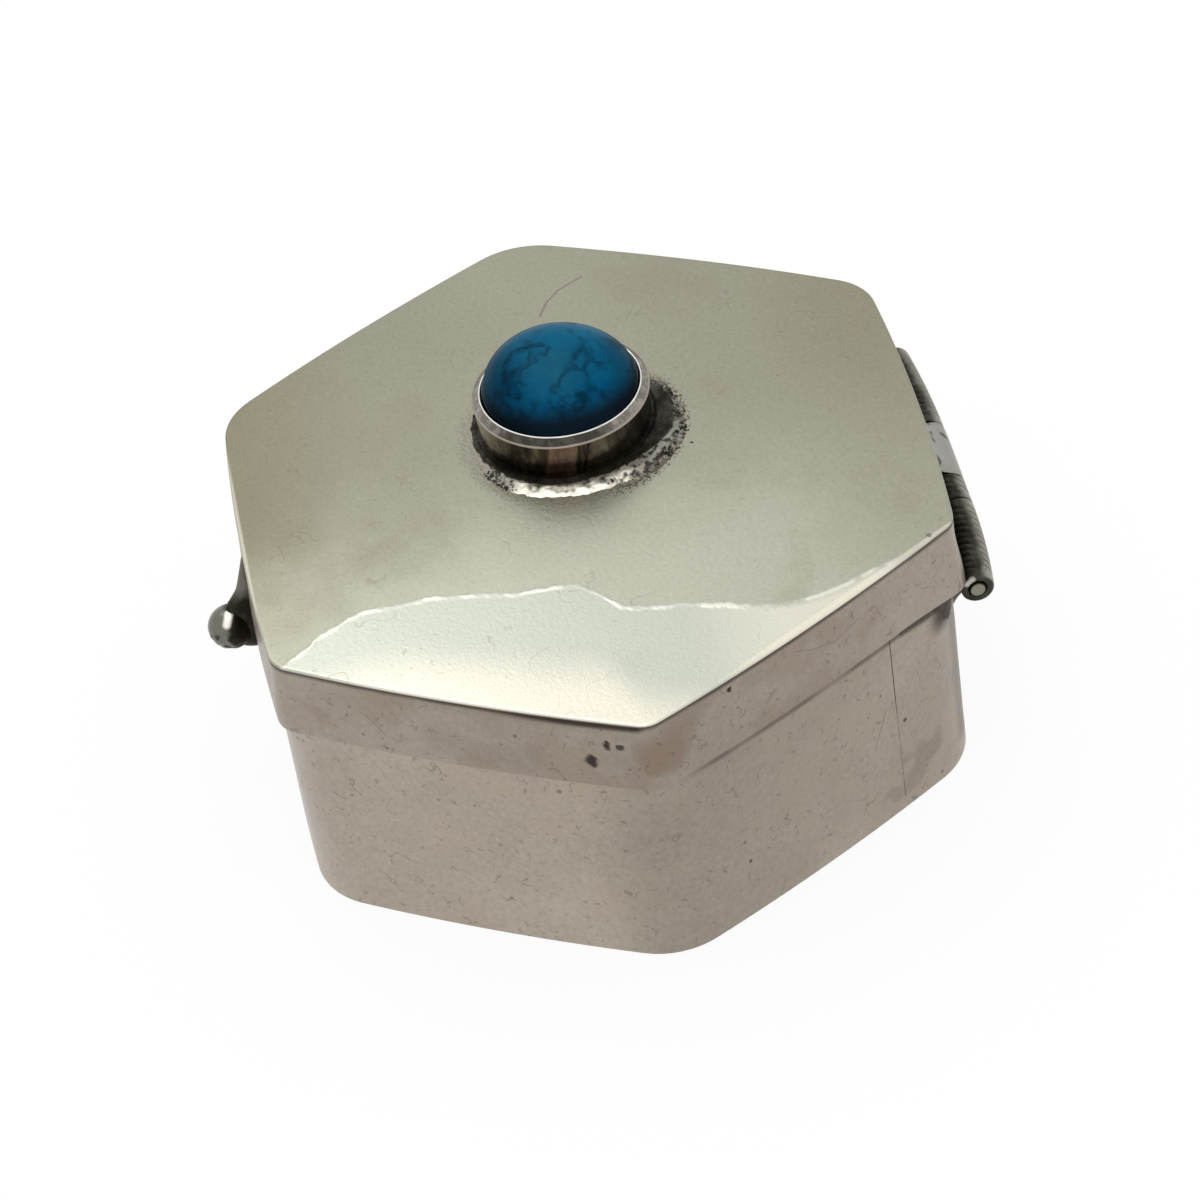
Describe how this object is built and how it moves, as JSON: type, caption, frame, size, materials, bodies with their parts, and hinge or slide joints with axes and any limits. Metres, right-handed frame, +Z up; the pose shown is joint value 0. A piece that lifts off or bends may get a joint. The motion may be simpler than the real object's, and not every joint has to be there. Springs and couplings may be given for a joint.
{
  "type": "hexagonal pill box",
  "caption": "Small hexagonal silver pill box with a hinged lid, a ball thumb-piece and a round blue cabochon set off-centre in a plain bezel.",
  "frame": {"origin": "centre of the floor's flat underside, on the surface that the box stands on", "axes": "+Z up, +Y towards the hinge, -Y towards the thumb-piece, +X and -X through two corners of the hexagon, along the hinge pin"},
  "size_m": [0.0378, 0.0388, 0.0208],
  "materials": {
    "satin_silver": "silver with a worn satin finish, fine pits and scratches",
    "polished_silver": "polished silver, slightly wavy",
    "dark_silver": "tarnished silver",
    "grey_solder": "oxidised silver solder",
    "blue_stone": "polished deep blue stone with a dark matrix"
  },
  "bodies": {
    "base": {"base_floor": "satin_silver", "base_wall": "satin_silver", "base_joint_solder": "dark_silver", "base_bearer": "satin_silver", "hinge_knuckle_near": "dark_silver", "hinge_knuckle_far": "dark_silver", "hinge_strap_near": "grey_solder", "hinge_strap_far": "grey_solder", "hinge_pin": "dark_silver"},
    "lid": {"lid_plate": "polished_silver", "lid_wall": "satin_silver", "lid_joint_solder": "dark_silver", "hinge_knuckle_centre": "dark_silver", "hinge_strap_centre": "grey_solder", "bezel_wall": "polished_silver", "bezel_solder": "grey_solder", "stone_bearer": "satin_silver", "cabochon": "blue_stone", "thumb_ball": "polished_silver", "thumb_foot": "grey_solder"}
  },
  "joints": [
    {"name": "lid_hinge", "type": "hinge", "parent": "base", "child": "lid", "pos_m": [0, 0.0183, 0.0108], "axis": [-1, 0, 0], "range_deg": [0, 180]}
  ]
}
